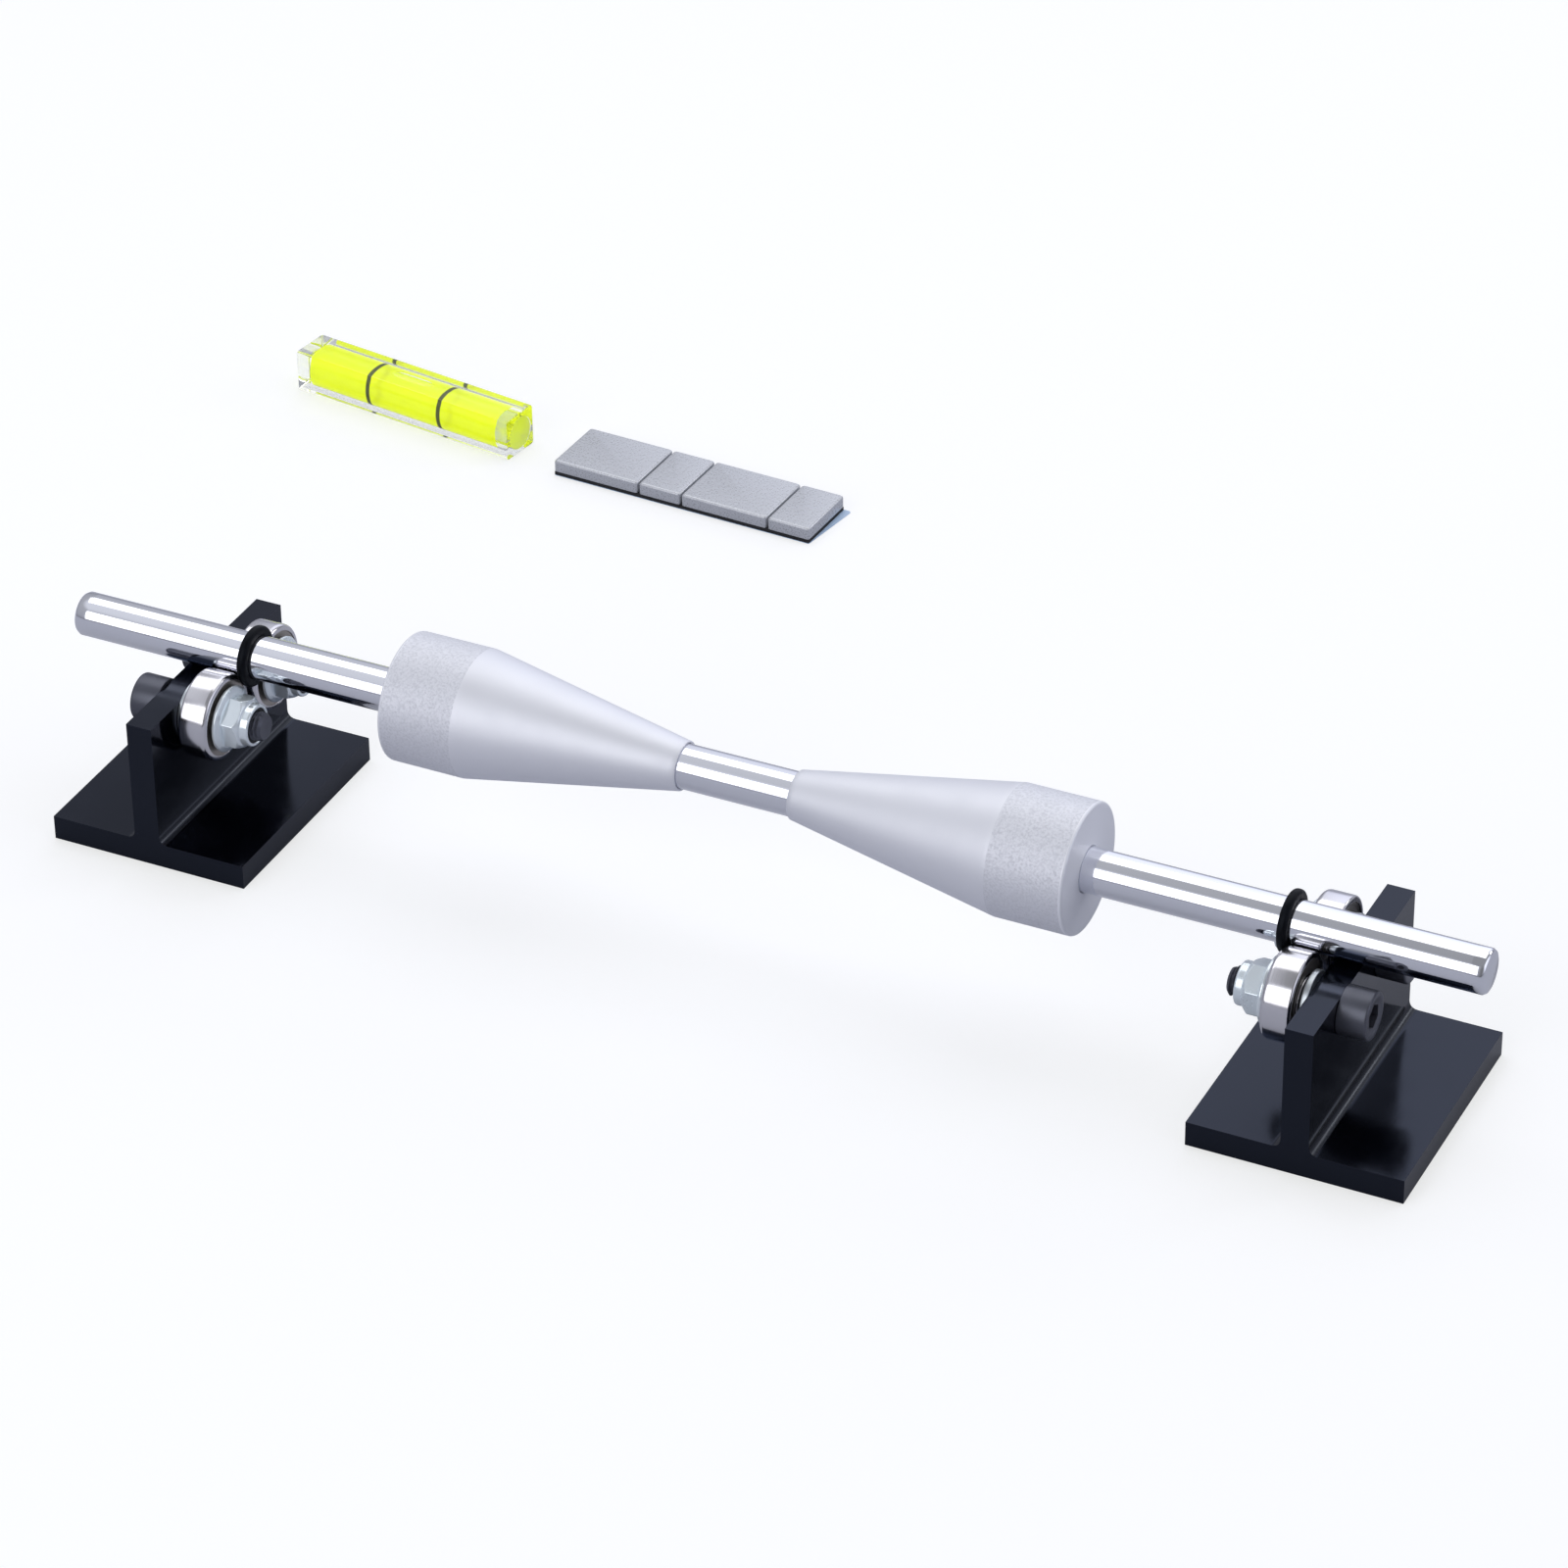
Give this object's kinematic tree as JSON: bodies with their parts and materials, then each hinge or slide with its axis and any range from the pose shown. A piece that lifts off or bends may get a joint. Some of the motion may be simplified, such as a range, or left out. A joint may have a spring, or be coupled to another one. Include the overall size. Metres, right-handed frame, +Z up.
{
  "type": "motorcycle wheel balancer",
  "caption": "Static balancer for motorcycle wheels: a shaft with two centring cones turns on ball bearings in two low stands, with a spirit level and stick-on weights.",
  "frame": {"origin": "on the bench, under the shaft's axis, halfway between the two stands", "axes": "+X along the shaft to the right stand, +Y to the back, where the level and the weights lie, +Z up"},
  "size_m": [0.4525, 0.2512, 0.0671],
  "materials": {
    "black_anodised": "satin black anodised",
    "chromed_shaft": "ground and polished, hard chromed",
    "cone_aluminium": "satin turned, with a fine knurled grip",
    "bearing_steel": "finely ground",
    "pressed_shield_steel": "pressed sheet, dull",
    "black_oxide_steel": "black oxide",
    "zinc_plated_steel": "bright zinc plate",
    "white_nylon": "matte nylon",
    "black_rubber": "matte rubber",
    "clear_acrylic": "polished clear acrylic",
    "level_liquid": "tinted yellow-green liquid",
    "black_marker": "matte",
    "grey_painted_steel": "satin grey coating",
    "black_foam_tape": "closed-cell foam",
    "release_liner": "waxed film"
  },
  "bodies": {
    "left_stand": {"left_stand": "black_anodised", "left_front_screw": "black_oxide_steel", "left_front_washer": "zinc_plated_steel", "left_front_shims": "zinc_plated_steel", "left_front_inner_ring": "bearing_steel", "left_front_lock_nut": "zinc_plated_steel", "left_front_nut_insert": "white_nylon", "left_rear_screw": "black_oxide_steel", "left_rear_washer": "zinc_plated_steel", "left_rear_shims": "zinc_plated_steel", "left_rear_inner_ring": "bearing_steel", "left_rear_lock_nut": "zinc_plated_steel", "left_rear_nut_insert": "white_nylon", "level_block": "clear_acrylic", "level_liquid": "level_liquid", "level_rings": "black_marker", "level_plug": "clear_acrylic", "stick_on_weights": "grey_painted_steel", "weight_tape": "black_foam_tape", "tape_liner": "release_liner"},
    "right_stand": {"right_stand": "black_anodised", "right_front_screw": "black_oxide_steel", "right_front_washer": "zinc_plated_steel", "right_front_shims": "zinc_plated_steel", "right_front_inner_ring": "bearing_steel", "right_front_lock_nut": "zinc_plated_steel", "right_front_nut_insert": "white_nylon", "right_rear_screw": "black_oxide_steel", "right_rear_washer": "zinc_plated_steel", "right_rear_shims": "zinc_plated_steel", "right_rear_inner_ring": "bearing_steel", "right_rear_lock_nut": "zinc_plated_steel", "right_rear_nut_insert": "white_nylon"},
    "shaft": {"shaft": "chromed_shaft"},
    "left_cone": {"left_cone": "cone_aluminium"},
    "left_grub_screw": {"left_grub_screw": "black_oxide_steel"},
    "left_stop_ring": {"left_stop_ring": "black_rubber"},
    "right_cone": {"right_cone": "cone_aluminium"},
    "right_grub_screw": {"right_grub_screw": "black_oxide_steel"},
    "right_stop_ring": {"right_stop_ring": "black_rubber"},
    "left_front_race": {"left_front_outer_ring": "bearing_steel", "left_front_shields": "pressed_shield_steel"},
    "left_front_ball_train": {"left_front_balls": "bearing_steel", "left_front_cage": "pressed_shield_steel"},
    "left_rear_race": {"left_rear_outer_ring": "bearing_steel", "left_rear_shields": "pressed_shield_steel"},
    "left_rear_ball_train": {"left_rear_balls": "bearing_steel", "left_rear_cage": "pressed_shield_steel"},
    "right_front_race": {"right_front_outer_ring": "bearing_steel", "right_front_shields": "pressed_shield_steel"},
    "right_front_ball_train": {"right_front_balls": "bearing_steel", "right_front_cage": "pressed_shield_steel"},
    "right_rear_race": {"right_rear_outer_ring": "bearing_steel", "right_rear_shields": "pressed_shield_steel"},
    "right_rear_ball_train": {"right_rear_balls": "bearing_steel", "right_rear_cage": "pressed_shield_steel"}
  },
  "joints": [
    {"name": "shaft_spin", "type": "hinge", "parent": "left_stand", "child": "shaft", "pos_m": [0, 0, 0.04958], "axis": [1, 0, 0], "continuous": true},
    {"name": "right_stand_slide", "type": "slide", "parent": "left_stand", "child": "right_stand", "axis": [1, 0, 0], "range_m": [0, 0.035]},
    {"name": "left_cone_slide", "type": "slide", "parent": "shaft", "child": "left_cone", "axis": [1, 0, 0], "range_m": [-0.025, 0.015]},
    {"name": "right_cone_slide", "type": "slide", "parent": "shaft", "child": "right_cone", "axis": [1, 0, 0], "range_m": [-0.015, 0.025]},
    {"name": "left_stop_ring_slide", "type": "slide", "parent": "shaft", "child": "left_stop_ring", "axis": [1, 0, 0], "range_m": [0, 0.015]},
    {"name": "right_stop_ring_slide", "type": "slide", "parent": "shaft", "child": "right_stop_ring", "axis": [1, 0, 0], "range_m": [-0.015, 0]},
    {"name": "left_grub_screw_turn", "type": "hinge", "parent": "left_cone", "child": "left_grub_screw", "pos_m": [-0.0907, 0, 0.04958], "axis": [0, 1, 0], "range_deg": [0, 360]},
    {"name": "right_grub_screw_turn", "type": "hinge", "parent": "right_cone", "child": "right_grub_screw", "pos_m": [0.0822, 0, 0.04958], "axis": [0, 1, 0], "range_deg": [0, 360]},
    {"name": "left_front_race_spin", "type": "hinge", "parent": "left_stand", "child": "left_front_race", "pos_m": [-0.15315, -0.0135, 0.0376], "axis": [1, 0, 0], "continuous": true},
    {"name": "left_front_ball_train_spin", "type": "hinge", "parent": "left_stand", "child": "left_front_ball_train", "pos_m": [-0.15315, -0.0135, 0.0376], "axis": [1, 0, 0], "continuous": true},
    {"name": "left_rear_race_spin", "type": "hinge", "parent": "left_stand", "child": "left_rear_race", "pos_m": [-0.15315, 0.0135, 0.0376], "axis": [1, 0, 0], "continuous": true},
    {"name": "left_rear_ball_train_spin", "type": "hinge", "parent": "left_stand", "child": "left_rear_ball_train", "pos_m": [-0.15315, 0.0135, 0.0376], "axis": [1, 0, 0], "continuous": true},
    {"name": "right_front_race_spin", "type": "hinge", "parent": "right_stand", "child": "right_front_race", "pos_m": [0.15315, -0.0135, 0.0376], "axis": [1, 0, 0], "continuous": true},
    {"name": "right_front_ball_train_spin", "type": "hinge", "parent": "right_stand", "child": "right_front_ball_train", "pos_m": [0.15315, -0.0135, 0.0376], "axis": [1, 0, 0], "continuous": true},
    {"name": "right_rear_race_spin", "type": "hinge", "parent": "right_stand", "child": "right_rear_race", "pos_m": [0.15315, 0.0135, 0.0376], "axis": [1, 0, 0], "continuous": true},
    {"name": "right_rear_ball_train_spin", "type": "hinge", "parent": "right_stand", "child": "right_rear_ball_train", "pos_m": [0.15315, 0.0135, 0.0376], "axis": [1, 0, 0], "continuous": true}
  ],
  "couplings": [
    {"joint": "left_front_race_spin", "follows": "shaft_spin", "ratio": -0.5},
    {"joint": "left_front_ball_train_spin", "follows": "shaft_spin", "ratio": -0.3125},
    {"joint": "left_rear_race_spin", "follows": "shaft_spin", "ratio": -0.5},
    {"joint": "left_rear_ball_train_spin", "follows": "shaft_spin", "ratio": -0.3125},
    {"joint": "right_front_race_spin", "follows": "shaft_spin", "ratio": -0.5},
    {"joint": "right_front_ball_train_spin", "follows": "shaft_spin", "ratio": -0.3125},
    {"joint": "right_rear_race_spin", "follows": "shaft_spin", "ratio": -0.5},
    {"joint": "right_rear_ball_train_spin", "follows": "shaft_spin", "ratio": -0.3125}
  ]
}
